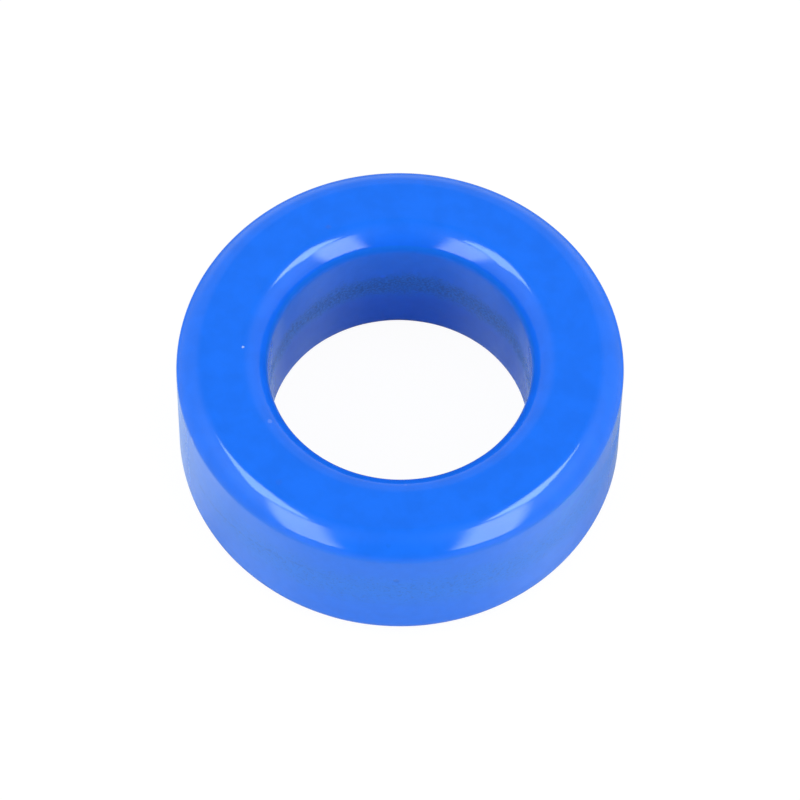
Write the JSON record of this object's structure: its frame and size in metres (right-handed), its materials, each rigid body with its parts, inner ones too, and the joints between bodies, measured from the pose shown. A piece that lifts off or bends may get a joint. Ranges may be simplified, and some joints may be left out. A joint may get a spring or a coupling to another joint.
{
  "type": "ferrite toroid core",
  "caption": "Ring-shaped ferrite core with a straight bore, flat faces and large rounded edges, coated all over in glossy blue epoxy, for winding wire through its bore.",
  "frame": {"origin": "centre of the underside, on the bore's axis", "axes": "+Z along the bore's axis, upwards from the face it rests on; the ring looks the same from every side, so +X and +Y are free"},
  "size_m": [0.0404, 0.0402, 0.0163],
  "materials": {
    "blue_epoxy_coat": "glossy epoxy coat, smooth on the faces and rounded edges, finely pebbled on the walls and thinner in a band at half height"
  },
  "bodies": {
    "root": {"toroid_core": "blue_epoxy_coat"}
  },
  "joints": []
}
